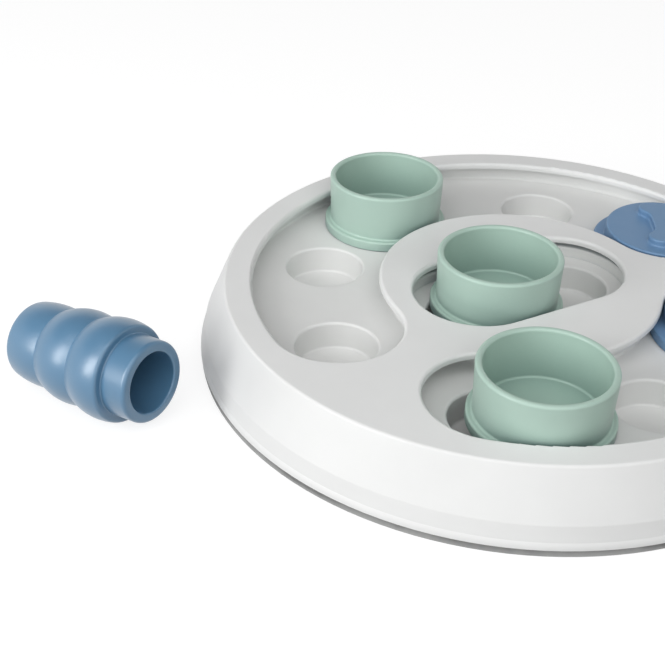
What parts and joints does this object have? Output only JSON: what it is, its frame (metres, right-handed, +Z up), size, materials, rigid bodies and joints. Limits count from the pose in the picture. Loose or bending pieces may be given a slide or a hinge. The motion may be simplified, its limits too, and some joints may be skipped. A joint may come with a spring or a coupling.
{
  "type": "dog puzzle feeder",
  "caption": "Round slide-and-seek treat board: cups and bone-grip lids ride in slots of a domed cover over treat wells, with a loose ribbed snack roll.",
  "frame": {"origin": "on the board's axis, in the plane of its rubber feet", "axes": "+Z up along the board's axis; the snack roll lies on the -X side and the owner stands on the -Y side"},
  "size_m": [0.3435, 0.28, 0.0488],
  "materials": {
    "tray_plastic": "satin moulded, light grey",
    "cover_plastic": "smooth satin gloss, off-white",
    "cup_plastic": "smooth gloss, pale sage green",
    "lid_plastic": "smooth gloss, dusty blue",
    "roll_plastic": "smooth gloss, dusty blue",
    "foot_rubber": "matt grey",
    "screw_steel": "zinc plated"
  },
  "bodies": {
    "board": {"base_tray": "tray_plastic", "top_cover": "cover_plastic", "rubber_foot_1": "foot_rubber", "rubber_foot_2": "foot_rubber", "rubber_foot_3": "foot_rubber", "rubber_foot_4": "foot_rubber", "rubber_foot_5": "foot_rubber", "rubber_foot_6": "foot_rubber", "rim_screw_1": "screw_steel", "rim_screw_2": "screw_steel", "rim_screw_3": "screw_steel", "rim_screw_4": "screw_steel", "rim_screw_5": "screw_steel", "rim_screw_6": "screw_steel", "island_screw_1": "screw_steel", "island_screw_2": "screw_steel"},
    "back_cup": {"back_cup": "cup_plastic"},
    "centre_cup": {"centre_cup": "cup_plastic"},
    "front_cup": {"front_cup": "cup_plastic"},
    "back_bone_lid": {"back_bone_lid": "lid_plastic"},
    "right_bone_lid": {"right_bone_lid": "lid_plastic"},
    "snack_roll": {"snack_roll": "roll_plastic"}
  },
  "joints": [
    {"name": "back_cup_slide", "type": "hinge", "parent": "board", "child": "back_cup", "pos_m": [0, 0, 0], "axis": [0, 0, 1], "range_deg": [-9.4, 77]},
    {"name": "back_lid_slide", "type": "hinge", "parent": "board", "child": "back_bone_lid", "pos_m": [0, 0, 0], "axis": [0, 0, 1], "range_deg": [0, 43.2]},
    {"name": "front_cup_slide", "type": "hinge", "parent": "board", "child": "front_cup", "pos_m": [0, 0, 0], "axis": [0, 0, 1], "range_deg": [-11.65, 1.5]},
    {"name": "right_lid_slide", "type": "hinge", "parent": "board", "child": "right_bone_lid", "pos_m": [0, 0, 0], "axis": [0, 0, 1], "range_deg": [-33, 0]},
    {"name": "centre_cup_slide", "type": "slide", "parent": "board", "child": "centre_cup", "axis": [0.7716, 0.6361, 0], "range_m": [-0.0107, 0.0345]},
    {"name": "snack_roll_lift", "type": "slide", "parent": "board", "child": "snack_roll", "axis": [0, 0, 1], "range_m": [0, 0.08]}
  ]
}
